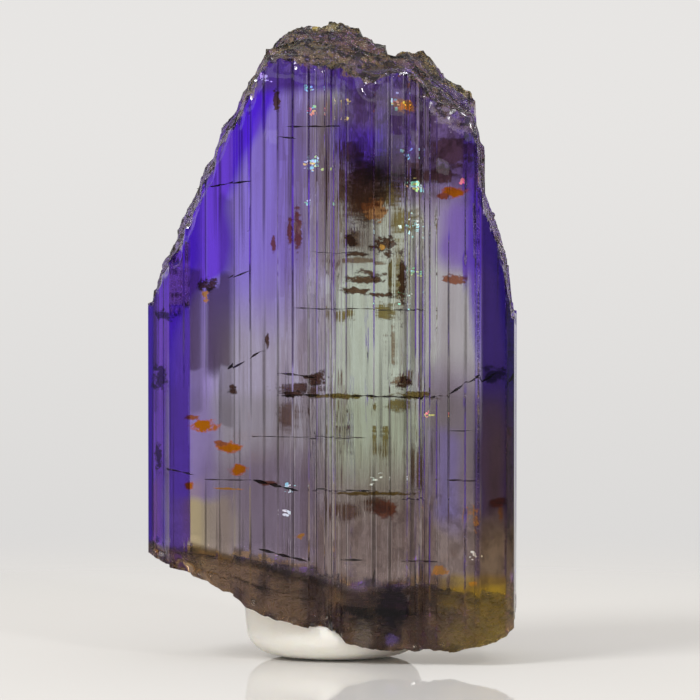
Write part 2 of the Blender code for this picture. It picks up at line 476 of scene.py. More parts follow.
ROCK = (0.60, 0.40, 0.07)
ROCK_DARK = (0.012, 0.007, 0.003)
ROCK_OLIVE = (0.75, 0.60, 0.05)
# Pale chips, partly with a painted silvery sheen
CHIPPED_SHEEN = (0.64, 0.58, 0.60)
# Painted glints: pale specks on the breaks
PAINTED_GLINT = (1.0, 0.96, 0.90)
FOOT_BROWN = (0.48, 0.24, 0.05)
FOOT_DARK = (0.07, 0.026, 0.003)
FOOT_OLIVE = (0.46, 0.29, 0.01)

# Iron stains in the stone, and a few dark patches: (colour, how it is mixed, raggedness, spots)
STAINS = [
    ((0.17, 0.080, 0.040), "MULTIPLY", 0.45, [
        (1.75, 23.4, 1.15, 1.80, -1), (6.2, 25.3, 1.50, 0.90, 1), (1.5, 19.8, 1.60, 0.18, 1),
        (-1.9, 12.0, 0.70, 0.90, 1), (0.9, 7.2, 0.70, 0.60, 1), (4.4, 9.4, 0.50, 1.20, 1),
        (1.3, 20.9, 0.50, 0.60, 1), (3.2, 15.5, 0.30, 1.40, 1), (3.4, 24.4, 1.60, 1.10, 1),
    ]),
    ((0.11, 0.036, 0.012), "MULTIPLY", 0.45, [
        (1.65, 23.5, 1.30, 2.00, 1), (1.1, 25.4, 0.80, 0.60, 1), (4.9, 24.1, 1.70, 0.45, 1),
        (2.5, 7.6, 0.70, 0.45, 1), (3.95, 13.9, 0.80, 0.50, 1),
    ]),
    ((0.04, 0.012, 0.005), "MULTIPLY", 0.75, [
        (2.6, 20.7, 0.70, 0.50, -1), (1.6, 19.05, 1.35, 0.24, -1), (1.2, 18.5, 1.00, 0.20, -1),
        (2.3, 18.3, 0.80, 0.16, -1), (-3.2, 16.1, 0.12, 0.50, -1), (-6.2, 18.75, 0.60, 0.40, -1),
        (2.3, 19.2, 0.80, 0.16, 1), (0.9, 21.0, 0.35, 0.45, -1), (3.45, 18.9, 0.22, 1.60, -1),
        (3.6, 14.0, 0.50, 0.34, -1), (-0.9, 14.2, 0.50, 0.36, -1), (-1.9, 13.4, 0.70, 0.20, -1),
        (-0.75, 14.2, 0.55, 0.38, -1), (-1.4, 13.4, 1.50, 0.26, 1), (1.2, 20.3, 0.80, 0.14, -1),
        (-4.9, 13.6, 0.25, 0.30, -1), (1.0, 11.0, 0.16, 1.20, 1),
    ]),
    ((0.15, 0.08, 0.008), "MULTIPLY", 0.75, [
        (3.1, 23.4, 0.90, 1.00, 1), (0.75, 17.1, 0.65, 0.36, 1), (2.95, 17.3, 0.65, 0.42, 1),
        (3.65, 19.4, 0.28, 2.20, 1), (3.9, 21.8, 0.80, 0.80, 1), (3.5, 12.6, 0.55, 0.45, 1),
        (2.9, 10.6, 0.25, 1.10, 1), (0.2, 13.3, 2.30, 0.14, -1), (4.2, 13.35, 1.20, 0.22, -1),
        (-2.75, 27.9, 0.20, 0.60, -1), (2.0, 8.5, 2.40, 0.10, -1),
    ]),
    ((0.34, 0.06, 0.02), "MULTIPLY", 0.6, [
        (1.95, 22.5, 0.55, 0.45, -1), (-1.7, 21.5, 0.22, 1.20, -1), (-2.1, 21.4, 0.14, 0.80, -1),
        (-2.9, 20.8, 0.13, 0.50, -1), (6.0, 19.1, 0.60, 0.26, -1), (2.6, 7.75, 0.75, 0.55, -1),
        (8.1, 8.1, 0.50, 0.26, -1), (-3.2, 9.0, 0.60, 0.14, -1),
    ]),
    ((0.70, 0.20, 0.01), "MIX", 0.75, [
        (2.5, 20.65, 0.22, 0.16, -1), (-6.3, 18.2, 0.22, 0.30, -1), (3.65, 27.6, 0.42, 0.28, 0),
        (7.1, 7.2, 0.14, 0.50, 0), (5.3, 4.7, 0.42, 0.24, -1), (-1.6, 6.4, 0.36, 0.16, -1),
        (-5.2, 8.7, 0.90, 0.05, -1), (1.9, 22.2, 0.25, 0.20, -1), (7.0, 4.1, 0.30, 0.16, -1),
    ]),
    ((0.64, 0.065, 0.0), "MIX", 0.45, [
        (-6.4, 11.8, 0.85, 0.36, -1), (-5.1, 10.75, 0.75, 0.32, -1), (-4.6, 9.65, 0.46, 0.30, -1),
        (-7.1, 8.8, 0.32, 0.20, -1), (5.95, 23.35, 0.70, 0.26, -1),
    ]),
    ((0.42, 0.12, 0.02), "MIX", 0.6, [
        (2.1, 22.5, 0.60, 0.55, -1),
    ]),
    ((0.30, 0.03, 0.004), "MIX", 0.5, [
        (-7.0, 12.15, 0.50, 0.20, -1), (-5.5, 10.95, 0.40, 0.16, -1), (5.5, 23.15, 0.35, 0.18, -1),
    ]),
    ((0.04, 0.025, 0.05), "MULTIPLY", 0.75, [
        (-8.6, 14.0, 0.45, 0.75, 0), (-8.4, 17.2, 0.65, 0.32, 0), (7.9, 14.4, 0.65, 0.45, -1),
        (-8.7, 10.0, 0.20, 0.80, 0),
    ]),
]

# Patches of the foot: (colour, how it is mixed, spot)
FOOT_STAINS = [
    ((0.04, 0.02, 0.16), "MULTIPLY", (3.0, 2.9, 1.1, 1.5, -1)),
    ((0.60, 0.48, 0.20), "MIX", (1.5, 1.5, 0.5, 0.8, -1)),
    ((0.30, 0.17, 0.90), "MIX", (2.95, 1.25, 0.35, 0.3, -1)),
]

REFRACTIVE_INDEX = 1.69
BODY_COLOUR = (0.80, 0.77, 0.88)
ABSORPTION = 90.0
SHARP_ANGLE = math.radians(28)

crystal_material, tree, shader = material_of("tanzanite")
place = stretched(tree, node(tree, "TexCoord", output="Object"), *[1 / MM] * 3)
x = node(tree, "SeparateXYZ", [(0, place)], "X")
depth = node(tree, "SeparateXYZ", [(0, place)], "Y")
z = node(tree, "SeparateXYZ", [(0, place)], "Z")

# The colour grew in zones, which wander a little. Each strip of the faces shows them slightly shifted.
strip = node(tree, "Attribute", output="Fac", attribute_name="strip")
wander = calc(tree, "MULTIPLY", calc(tree, "SUBTRACT", cloud(tree, place, 0.30), 0.5), 3.0)
zone_x = calc(tree, "ADD", calc(tree, "ADD", x, wander), calc(tree, "MULTIPLY", strip, 0.30))
zone_z = calc(tree, "ADD", calc(tree, "ADD", z, wander), calc(tree, "MULTIPLY", strip, 0.55))
close_x = calc(tree, "ADD", x, calc(tree, "MULTIPLY", wander, 0.3))
close_z = calc(tree, "ADD", z, calc(tree, "MULTIPLY", wander, 0.3))

pale_left = beyond(tree, zone_x, 0.2, -0.9)
pale_right = beyond(tree, zone_x, 4.6, 0.9)
tint = mixed(tree, pale_left, CLEAR, PALE_LILAC)
tint = mixed(tree, pale_right, tint, PALE_GREY)
low_right = product(tree, beyond(tree, zone_x, 4.4, 0.8), beyond(tree, zone_z, 14.4, -0.9))
tint = mixed(tree, low_right, tint, GREY_LILAC)
high_left = product(tree, beyond(tree, zone_x, -1.2, -1.6), beyond(tree, zone_z, 17.5, 2.5))
tint = mixed(tree, high_left, tint, LILAC)
tint = mixed(tree, zone(tree, zone_x, zone_z, 5.6, 7.6, 20.0, 23.4, 0.8), tint, RIGHT_VIOLET)
high_middle = zone(tree, zone_x, zone_z, -1.7, 2.2, 20.0, 27.5, 0.9)
tint = mixed(tree, high_middle, tint, (0.62, 0.56, 0.62), "MULTIPLY")
tint = mixed(tree, product(tree, zone(tree, x, zone_z, -0.6, 0.6, 19.3, 28.2, 0.2), 0.7), tint, GREY_BROWN)
low_middle = product(tree, beyond(tree, zone_z, 9.4, -2.6), beyond(tree, zone_x, -4.6, 2.0))
tint = mixed(tree, low_middle, tint, MAUVE)
tint = mixed(tree, zone(tree, zone_x, zone_z, -4.9, -0.4, 4.5, 10.0, 0.8), tint, LOW_LILAC)
tint = mixed(tree, zone(tree, close_x, zone_z, 5.2, 6.5, 6.8, 11.5, 0.4), tint, FAINT_VIOLET)
tint = mixed(tree, zone(tree, close_x, zone_z, -8.3, -5.7, 8.6, 19.4, 0.6), tint, LEFT_LILAC)
tint = mixed(tree, zone(tree, close_x, zone_z, -7.4, -4.9, 4.0, 8.8, 0.4), tint, BEIGE)
dusk = mixed(tree, beyond(tree, wander, 0.1, 0.35), DUSK, DEEP_VIOLET)
high_right = product(tree, beyond(tree, zone_z, 24.0, 1.3), beyond(tree, zone_x, 0.6, 0.7))
tint = mixed(tree, high_right, tint, dusk)
tint = mixed(tree, zone(tree, zone_x, zone_z, 4.0, 9.0, 23.2, 29.0, 0.8), tint, TOP_SMOKE)
violet_edge = border(tree, z, [
    (0, -8.1), (12.9, -8.1), (15.4, -7.9), (16.9, -7.4), (18.6, -6.3), (19.6, -5.1), (22.9, -5.0),
    (28.2, -2.7), (32, -1),
])
tint = mixed(tree, beyond(tree, close_x, violet_edge, -0.35), tint, VIOLET)
tint = mixed(tree, zone(tree, close_x, close_z, -4.4, 1.4, 28.3, 31.0, 0.35), tint, TOP_VIOLET)
night_edge = border(tree, z, [(0, 7.2), (14, 7.3), (18, 7.0), (24, 6.8), (27, 6.4), (32, 5)])
tint = mixed(tree, beyond(tree, close_x, night_edge, 0.35), tint, DEEP_VIOLET)
front_side = beyond(tree, depth, -1.5, -0.6)
tint = mixed(tree, product(tree, beyond(tree, x, 7.35, 0.08), front_side), tint, NIGHT)
low_side = product(tree, beyond(tree, close_x, 7.1, 0.5), front_side)
tint = mixed(tree, product(tree, low_side, beyond(tree, zone_z, 13.2, -1.6)), tint, SMOKE)
tint = mixed(tree, product(tree, low_side, beyond(tree, zone_z, 7.0, -1.2)), tint, UMBER)

# Bands of painted shade, bars and hairlines run up the crystal. The grooves between the strips are darkened
# with painted shade, and some groove edges are lightened with painted highlights.
band = product(tree, zone(tree, x, zone_z, -5.6, -4.9, 12.2, 23.4, 0.15), 0.6)
band = calc(tree, "MAXIMUM", band, product(tree, zone(tree, x, zone_z, -6.3, -4.9, 14.6, 19.7, 0.25), 0.95))
tint = mixed(tree, band, tint, SHADE, "MULTIPLY")
duller = product(tree, beyond(tree, close_z, 13.2, -0.6), beyond(tree, close_x, -6.6, 0.8))
tint = mixed(tree, duller, tint, (0.78, 0.78, 0.70), "MULTIPLY")
lined = product(tree, beyond(tree, close_x, -2.6, 0.6), beyond(tree, close_x, 5.0, -0.5))
smooth = calc(tree, "MULTIPLY", zone(tree, x, z, 0.9, 3.2, 11.0, 20.0, 0.3), 0.8)
lined = product(tree, lined, calc(tree, "SUBTRACT", 1.0, smooth))
lined = calc(tree, "ADD", calc(tree, "MULTIPLY", lined, 0.8), 0.2)
flat = node(tree, "CombineXYZ", [("X", calc(tree, "ADD", x, depth)), ("Y", calc(tree, "ADD", z, depth))])
for size, low, high, strength, shade in (
    ((2.4, 0.20, 0), 0.50, 0.85, 0.75, (0.62, 0.54, 0.52)),
    ((6.5, 0.33, 0), 0.60, 0.90, 0.70, (0.60, 0.53, 0.47)),
):
    cells = [("Vector", stretched(tree, flat, *size)), ("Scale", 1.0)]
    bars = node(tree, "TexVoronoi", cells, "Color", distance="CHEBYCHEV", voronoi_dimensions="2D")
    darker = product(tree, rise(tree, node(tree, "SeparateColor", [(0, bars)]), low, high), lined, strength)
    tint = mixed(tree, darker, tint, shade, "MULTIPLY")
curtain = cloud(tree, stretched(tree, place, 1.0, 1.0, 0.05), 1.0, 2.0, 0.65)
tint = mixed(tree, product(tree, rise(tree, curtain, 0.50, 0.70), 0.5), tint, (0.50, 0.41, 0.38), "MULTIPLY")
blotch = rise(tree, cloud(tree, stretched(tree, place, 1.3, 1.0, 0.9), 1.3, 2.0, 0.7), 0.46, 0.56)
low_dusk = calc(tree, "MULTIPLY", beyond(tree, zone_z, 9.0, -2.0), 0.6)
dusky = calc(tree, "MAXIMUM", beyond(tree, zone_z, 23.6, 1.0), low_dusk)
dusky = product(tree, dusky, beyond(tree, close_x, 0.3, 0.8))
tint = mixed(tree, product(tree, blotch, dusky, 0.75), tint, (0.30, 0.22, 0.20), "MULTIPLY")
groove = node(tree, "Attribute", output="Fac", attribute_name="groove")
# Painted shade: darker lines along the grooves between the strips
groove_shade_cloud = rise(tree, cloud(tree, stretched(tree, place, 2, 2, 0.12), 1.0, 1.0), 0.42, 0.60)
painted_groove_shade = product(tree, rise(tree, groove, 0.3, 0.9), groove_shade_cloud, 0.85)
tint = mixed(tree, painted_groove_shade, tint, (0.14, 0.12, 0.09), "MULTIPLY")
# Painted highlights: paler lines along some of the fainter grooves, in place of risers catching the light
painted_glint_edges = product(tree, rise(tree, groove, 0.25, 0.45), rise(tree, groove, 0.75, 0.55), lined)
painted_glint_edges = product(tree, painted_glint_edges, rise(tree, curtain, 0.42, 0.58), beyond(tree, x, 7.0, -0.2), 0.5)
tint = mixed(tree, painted_glint_edges, tint, (1.0, 1.0, 0.95))

# Films of iron oxide in the stone, with ragged rims: brown and olive patches, and orange ones near the front.
flecks = cloud(tree, stretched(tree, place, 2.4, 1.0, 3.2), 1.0, 3.0, 0.75)
rag = calc(tree, "MULTIPLY", calc(tree, "SUBTRACT", flecks, 0.46), 4.0)
for colour, blend, raggedness, spots in STAINS:
    far = calc(tree, "ADD", nearest_stain(tree, place, spots), calc(tree, "MULTIPLY", rag, raggedness))
    tint = mixed(tree, rise(tree, far, 1.15, 0.75), tint, colour, blend)

# The foot is stained amber and brown, up to an uneven line, with an olive patch at the right.
patches = cloud(tree, stretched(tree, place, 1.0, 0.6, 0.6), 0.8, 3.0)
lighter = calc(tree, "MULTIPLY", beyond(tree, zone_x, -2.6, -1.6), 0.16)
amber = mixed(tree, rise(tree, calc(tree, "ADD", patches, lighter), 0.49, 0.68), FOOT_DARK, FOOT_BROWN)
olive = product(tree, beyond(tree, zone_x, 5.9, 0.9), rise(tree, patches, 0.3, 0.55))
amber = mixed(tree, olive, amber, FOOT_OLIVE)
foot_edge = border(tree, x, [
    (-9.3, 5.6), (-6, 5.5), (-4.9, 5.3), (-2.1, 4.6), (0.6, 3.9), (3.4, 3.9), (4.9, 4.1), (6.9, 4.0),
    (9.3, 3.9),
])
tint = mixed(tree, product(tree, beyond(tree, close_z, foot_edge, -0.22), 0.9), tint, amber)
near_edge = calc(tree, "ABSOLUTE", calc(tree, "ADD", calc(tree, "SUBTRACT", close_z, foot_edge), 0.10))
dark_edge = product(tree, beyond(tree, near_edge, 0.20, -0.10), beyond(tree, zone_x, 0.5, -1.5), 0.8)
tint = mixed(tree, dark_edge, tint, (0.16, 0.15, 0.11), "MULTIPLY")
for colour, blend, spot in FOOT_STAINS:
    far = calc(tree, "ADD", nearest_stain(tree, place, [spot]), calc(tree, "MULTIPLY", rag, 0.45))
    tint = mixed(tree, rise(tree, far, 1.2, 0.6), tint, colour, blend)

# The breaks are granular and stained: grey brown at the top, pale along the chipped edges, partly as a
# painted silvery sheen, and amber at the foot. The faces beside them are bruised. Pale specks on the breaks
# above the foot are painted glints.
broken = node(tree, "Attribute", output="Fac", attribute_name="broken")
to_break = node(tree, "Attribute", output="Fac", attribute_name="to_break")
grain = cloud(tree, place, 2.0, 3.0, 0.75)
fine_grain = cloud(tree, place, 7.0, 1.0, 0.6)
lumps = cloud(tree, place, 0.9, 1.0)
rock = mixed(tree, rise(tree, calc(tree, "ADD", grain, lumps), 0.94, 1.08), ROCK_DARK, ROCK)
olive = product(tree, rise(tree, patches, 0.48, 0.58), rise(tree, grain, 0.45, 0.55))
rock = mixed(tree, olive, rock, ROCK_OLIVE)
violet_lumps = product(tree, rise(tree, lumps, 0.52, 0.60), rise(tree, z, 30.2, 29.0), 0.8)
rock = mixed(tree, violet_lumps, rock, TOP_VIOLET)
edge_chips = product(tree, rise(tree, z, 28.8, 27.0), rise(tree, z, 14.0, 16.0))
# Pale grains on the chipped side edges: partly the chips' own paleness, partly painted silvery sheen
rock = mixed(tree, product(tree, edge_chips, rise(tree, grain, 0.46, 0.56)), rock, CHIPPED_SHEEN)
rock = mixed(tree, rise(tree, z, 8.5, 7.0), rock, amber)
# Painted glints: pale specks on the breaks above the foot
rock = mixed(tree, product(tree, rise(tree, fine_grain, 0.62, 0.70), rise(tree, z, 4.0, 9.0)), rock, PAINTED_GLINT)
bruised_right = product(tree, beyond(tree, x, 4.6, 1.0), beyond(tree, z, 25.6, 1.0), 0.9)
reach = calc(tree, "ADD", 0.12, bruised_right)
reach = calc(tree, "SUBTRACT", reach, calc(tree, "MULTIPLY", fine_grain, 0.1))
reach = calc(tree, "ADD", reach, calc(tree, "MULTIPLY", calc(tree, "SUBTRACT", grain, 0.5), 2.4))
bruise = rise(tree, calc(tree, "SUBTRACT", reach, to_break), 0.0, 0.12)
rough_share = calc(tree, "MAXIMUM", broken, calc(tree, "MULTIPLY", bruise, 0.9))
tint = mixed(tree, rough_share, tint, rock)
tree.links.new(tint, shader.inputs["Base Color"])

# The prism's faces are glassy, with hair-fine lines along them.
hairlines = cloud(tree, stretched(tree, place, 13, 13, 0.12), 1.0, 1.0, 0.6)
speckle = cloud(tree, place, 4.5, 3.0, 0.75)
roughness = node(tree, "Mix", [(0, rough_share), (2, 0.0), (3, calc(tree, "MULTIPLY", speckle, 0.5))])
tree.links.new(roughness, shader.inputs["Roughness"])
height = node(tree, "Mix", [(0, broken), (2, product(tree, hairlines, lined, 0.12)), (3, speckle)])
bump = node(tree, "Bump", [("Strength", 0.9), ("Distance", 0.0001), ("Height", height)], output="Normal")
tree.links.new(bump, shader.inputs["Normal"])

shader.inputs["Metallic"].default_value = 0.0
shader.inputs["Transmission Weight"].default_value = 1.0
shader.inputs["IOR"].default_value = REFRACTIVE_INDEX
volume = tree.nodes.new("ShaderNodeVolumeAbsorption")
volume.inputs["Color"].default_value = (*BODY_COLOUR, 1)
volume.inputs["Density"].default_value = ABSORPTION
tree.links.new(volume.outputs["Volume"], tree.nodes["Material Output"].inputs["Volume"])
crystal = crystal_mesh(crystal_material)
crystal.data.shade_smooth()
crystal.data.set_sharp_from_angle(angle=SHARP_ANGLE)
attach(crystal, "root")
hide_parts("crystal")


# Cracks inside the crystal: flat healed cracks across its length, filled with dark brown stain and seen
# edge-on as thin lines. Each is a row of thin closed lenses with ragged rims.

# Each crack is (left x, left z, right x, right z, y, thickness)
CRACKS = [
    (-2.2, 26.6, 0.5, 26.6, -2.9, 0.06),
    (-2.6, 26.1, -1.8, 26.0, -3.3, 0.05),
    (-6.7, 23.5, -4.1, 23.9, -2.4, 0.07),
    (-5.0, 19.1, -4.0, 19.5, -2.9, 0.07),
    (-5.0, 14.6, -3.4, 15.5, -2.9, 0.07),
    (-8.1, 9.6, -6.6, 9.3, -1.9, 0.06),
    (-3.6, 5.7, -1.2, 5.1, -3.3, 0.10),
    (0.6, 5.2, 1.6, 5.2, -3.3, 0.08),
    (3.4, 5.1, 5.2, 5.1, -3.3, 0.06),
    (5.7, 9.1, 7.1, 9.1, -3.0, 0.05),
    (5.8, 11.5, 6.9, 11.5, -2.0, 0.05),
    (3.5, 8.1, 4.7, 8.1, -2.0, 0.06),
    (-0.9, 8.5, 2.0, 8.5, -1.0, 0.07),
    (-2.5, 13.3, -0.6, 13.3, -2.4, 0.10),
    (0.9, 13.2, 5.6, 13.2, -1.6, 0.09),
    (5.8, 13.3, 7.6, 14.4, -1.2, 0.10),
    (-2.5, 14.4, -0.6, 14.2, -2.7, 0.10),
    (-6.2, 9.1, -4.2, 9.1, -2.6, 0.04),
    (-3.9, 9.1, -1.7, 8.6, -3.4, 0.12),
    (-1.0, 20.3, 1.0, 20.3, -1.5, 0.04),
    (-1.8, 17.6, 4.6, 17.5, -2.2, 0.04),
    (-4.2, 11.2, 1.8, 11.1, -0.5, 0.04),
]
CRACK_STEP = 0.8  # about the length of one lens
CRACK_OVERLAP = 1.24
CRACK_DARK = (0.012, 0.008, 0.008)
CRACK_BROWN = (0.16, 0.07, 0.02)
FLAKE_POINTS = 16
RAGGED = 0.28


def flake(rng, centre, across, up, half_sizes, points, faces):
    """Adds a closed lens with a ragged rim. Its half sizes are along across, along up and in thickness."""
    across = across.normalized()
    up = up.normalized()
    out = across.cross(up)
    count = FLAKE_POINTS - 2
    start = len(points)
    for k in range(count):
        turn = math.tau * k / count
        reach = across * math.cos(turn) * half_sizes[0] + up * math.sin(turn) * half_sizes[1]
        rim = centre + reach * rng.uniform(1 - RAGGED, 1.0) + out * rng.uniform(-0.3, 0.3) * half_sizes[2]
        points.append(tuple(rim))
    points.append(tuple(centre + out * half_sizes[2]))
    points.append(tuple(centre - out * half_sizes[2]))
    for k in range(count):
        a, b = start + k, start + (k + 1) % count
        faces.append((a, b, start + count))
        faces.append((b, a, start + count + 1))


rng = random.Random(21)
points, faces, tones = [], [], []
for left, low, right, high, y, thick in CRACKS:
    count = max(1, round((right - left) / CRACK_STEP))
    half_length = (right - left) / count * CRACK_OVERLAP / 2
    for k in range(count):
        share = (k + 0.5) / count
        height = lerp(low, high, share) + rng.uniform(-0.03, 0.03)
        centre = Vector((lerp(left, right, share), y + rng.uniform(-0.2, 0.2), height))
        across = Vector((right - left, rng.uniform(-0.1, 0.1), high - low))
        deep = Vector((0, 1, rng.uniform(-0.05, 0.05)))
        half_sizes = (half_length, rng.uniform(0.25, 0.8), thick * rng.uniform(0.5, 0.9))
        flake(rng, centre, across, deep, half_sizes, points, faces)
        tones.append(rng.uniform(0.0, 0.6))

crack_material, tree, shader = material_of("stained_crack")
tone = node(tree, "Attribute", output="Fac", attribute_name="tone")
colour = mixed(tree, tone, CRACK_DARK, CRACK_BROWN)
tree.links.new(colour, shader.inputs["Base Color"])
shader.inputs["Roughness"].default_value = 0.6
cracks = mesh_object("stained_cracks", points, faces, crack_material)
point_values(cracks.data, "tone", np.repeat(tones, FLAKE_POINTS))
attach(cracks, "root")


# Gas films: thin films of gas in small cracks of the stone, which flash white or in rainbow colours where
# they catch the light. Each is a tiny flat flake closed inside the crystal, and glows a little for its flash.

# Clusters of flakes: (x, z, reach, y, flakes, first tone, last tone). Tones run from white at 0 to rose at 1.
FLASHES = [
    (-1.1, 28.5, 0.30, -3.4, 8, 0.0, 0.7),
    (-1.0, 27.4, 0.35, -3.0, 9, 0.2, 1.0),
    (-0.95, 24.8, 0.50, -3.2, 40, 0.0, 0.7),
    (0.8, 27.8, 0.20, -3.2, 5, 0.6, 0.7),
    (0.8, 27.0, 0.20, -3.2, 5, 0.6, 0.7),
    (-1.1, 22.8, 0.25, -2.6, 6, 0.0, 0.6),
    (4.2, 23.7, 0.50, -3.2, 36, 0.1, 0.8),
    (3.7, 25.2, 0.40, -3.0, 10, 0.1, 0.6),
    (3.1, 27.8, 0.60, -3.6, 14, 0.1, 1.0),
    (4.2, 19.4, 0.40, -2.8, 10, 0.2, 0.7),
    (6.5, 23.9, 0.22, -3.4, 9, 0.85, 1.0),
    (4.0, 21.8, 0.60, -2.8, 16, 0.0, 0.3),
    (3.6, 18.1, 0.60, -2.6, 12, 0.0, 0.4),
    (-2.1, 8.7, 0.35, -3.3, 12, 0.0, 0.3),
    (-2.2, 7.5, 0.22, -3.3, 8, 0.0, 0.1),
    (7.0, 5.3, 0.30, -3.2, 5, 0.0, 0.1),
    (4.9, 12.4, 0.30, -2.8, 6, 0.6, 1.0),
    (2.3, 9.2, 0.60, -2.6, 6, 0.0, 0.1),
    (-3.4, 28.9, 0.40, -3.2, 14, 0.0, 0.1),
]
FILM_HALF_THICKNESS = 0.006
FLASH_GLOW = 1.5

# Colours of the tones, with the first and the last tone ahead of those between
FLASH_HUES = [
    (0.0, (0.85, 0.87, 0.85)),
    (1.0, (0.90, 0.12, 0.30)),
    (0.25, (0.35, 0.75, 0.85)),
    (0.45, (0.25, 0.75, 0.35)),
    (0.65, (0.90, 0.75, 0.20)),
]

points, faces, tones = [], [], []
for x, z, reach, y, count, first, last in FLASHES:
    for _ in range(count):
        shift = Vector((rng.gauss(0, 0.36), rng.gauss(0, 0.3), rng.gauss(0, 0.36))) * reach
        across = Vector((1, rng.uniform(-0.6, 0.6), rng.uniform(-0.5, 0.5)))
        size = rng.uniform(0.04, 0.12)
        up = Vector((rng.uniform(-0.3, 0.3), rng.uniform(-0.5, 0.5), 1))
        half_sizes = (size, size * rng.uniform(0.3, 1.0), FILM_HALF_THICKNESS)
        flake(rng, Vector((x, y, z)) + shift, across, up, half_sizes, points, faces)
        tones.append(rng.uniform(first, last))

flash_material, tree, shader = material_of("gas_film")
tone = node(tree, "Attribute", output="Fac", attribute_name="tone")
ramp = tree.nodes.new("ShaderNodeValToRGB")
for stop, (level, colour) in zip(ramp.color_ramp.elements, FLASH_HUES[:2]):
    stop.position = level
    stop.color = (*colour, 1)
for level, colour in FLASH_HUES[2:]:
    ramp.color_ramp.elements.new(level).color = (*colour, 1)
tree.links.new(tone, ramp.inputs[0])
tree.links.new(ramp.outputs[0], shader.inputs["Base Color"])
tree.links.new(ramp.outputs[0], shader.inputs["Emission Color"])
shader.inputs["Emission Strength"].default_value = FLASH_GLOW
flash_material.cycles.emission_sampling = "NONE"  # too small to light anything round them
shader.inputs["Roughness"].default_value = 0.2
flashes = mesh_object("gas_films", points, faces, flash_material)
point_values(flashes.data, "tone", np.repeat(tones, FLAKE_POINTS))
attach(flashes, "root")


# The putty: a soft cream lump of mounting putty, squeezed flat between the board and the crystal's foot,
# with a few creases and finger marks. It is a pressed ball, with the shape of the foot pressed into its top.
PAD_MIDDLE = (0.15, 0.3)
PAD_HALF_SIZES = (4.45, 4.12)
PAD_BULGE = 3.9
PAD_TURNS = 180
PAD_ROWS = 60
PRESS_GAP = 0.04
CREAM = (0.97, 0.93, 0.85)
CREAM_SHADED = (0.95, 0.90, 0.82)
CRUMBS = (0.45, 0.40, 0.33)


def pad_creases(point, turn):
    """Unevenness of kneaded putty, in millimetres."""
    dents = noise.noise(point * 0.35 + Vector((3, 8, 1)))
    prints = noise.noise(Vector((point.x * 1.1, point.y * 1.1, point.z * 2.2)))
    crease = max(0.0, 1 - abs(point.z - 0.75 - 0.35 * math.sin(turn * 2 + 1)) * 6)
    return 0.16 * dents + 0.035 * prints - 0.05 * crease * max(0.0, math.sin(turn * 3 + 0.5))


def pad_point(i, k, foot_of):
    """Point k of row i of the putty, counted from the underside up."""
    turn = math.tau * k / PAD_TURNS
    slope = math.pi * (i / (PAD_ROWS + 1)) - math.pi / 2
    reach = math.cos(slope) ** 0.42
    level = 0.5 + 0.5 * math.copysign(abs(math.sin(slope)) ** 0.7, slope)
    tuck = 1 - 0.03 * (1 - min(1.0, level / 0.25)) ** 2
    x = PAD_MIDDLE[0] + PAD_HALF_SIZES[0] * reach * tuck * math.cos(turn)
    y = PAD_MIDDLE[1] + PAD_HALF_SIZES[1] * reach * tuck * math.sin(turn)
    z = level * PAD_BULGE
    uneven = pad_creases(Vector((x, y, z)), turn) * min(1.0, level * 4)
    x += uneven * math.cos(turn) * reach
    y += uneven * math.sin(turn) * reach
    pressed = broken_point(foot_of, -1, x, y, edge=True).z - PRESS_GAP
    return x, y, max(0.0, min(z + uneven * 0.5, pressed))


def putty_mesh(material):
    """A pressed ball: a rounded side that bulges over a flat underside, and a top squeezed by the foot."""
    foot_of = cad_heights("crystal")[1]
    points = [(*PAD_MIDDLE, 0.0)]
    for i in range(1, PAD_ROWS + 1):
        points += [pad_point(i, k, foot_of) for k in range(PAD_TURNS)]
    points.append((*PAD_MIDDLE, broken_point(foot_of, -1, *PAD_MIDDLE, edge=True).z - PRESS_GAP))
    faces = []
    last = 1 + (PAD_ROWS - 1) * PAD_TURNS
    for k in range(PAD_TURNS):
        following = (k + 1) % PAD_TURNS
        faces.append((0, 1 + following, 1 + k))
        faces.append((last + k, last + following, len(points) - 1))
        for row in range(1, last, PAD_TURNS):
            faces.append((row + k, row + following, row + PAD_TURNS + following, row + PAD_TURNS + k))
    return mesh_object("putty_pad", points, faces, material)


putty_material, tree, shader = material_of("putty")
place = stretched(tree, node(tree, "TexCoord", output="Object"), *[1 / MM] * 3)
cream = mixed(tree, rise(tree, cloud(tree, place, 0.8, 4.0), 0.35, 0.65), CREAM, CREAM_SHADED)
crumbs = rise(tree, cloud(tree, place, 5.0, 3.0, 0.7), 0.66, 0.74)
cream = mixed(tree, product(tree, crumbs, 0.35), cream, CRUMBS)
tree.links.new(cream, shader.inputs["Base Color"])
shader.inputs["Roughness"].default_value = 0.55
shader.inputs["Subsurface Weight"].default_value = 0.35
shader.inputs["Subsurface Radius"].default_value = (1.0, 0.8, 0.55)
shader.inputs["Subsurface Scale"].default_value = 0.0008
dimples = cloud(tree, place, 3.0, 5.0, 0.6)
bump = node(tree, "Bump", [("Strength", 0.35), ("Distance", 0.00012), ("Height", dimples)], output="Normal")
tree.links.new(bump, shader.inputs["Normal"])
putty = putty_mesh(putty_material)
putty.data.shade_smooth()
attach(putty, "root")
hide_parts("putty")


# The floor: a pale, slightly glossy board that fades into the backdrop, so that no horizon shows. The faces
# of the crystal hardly mirror it, as through a polariser.
BOARD_RADIUS = 0.9
BOARD_COLOUR = (0.70, 0.685, 0.665)
GLOSS_COLOUR = (0.94, 0.92, 0.88)
GLOSS_SHARE = 0.40
FADE_START = 0.025
FADE_END = 0.09
MIRRORED_LOSS = 0.85


def mirrored_rays(tree):
    """1 where light is seen mirrored, 0 where it is seen directly or through something clear."""
    mirrored = calc(tree, "SUBTRACT", 1.0, node(tree, "LightPath", output="Is Transmission Ray"))
    return product(tree, mirrored, node(tree, "LightPath", output="Is Glossy Ray"))


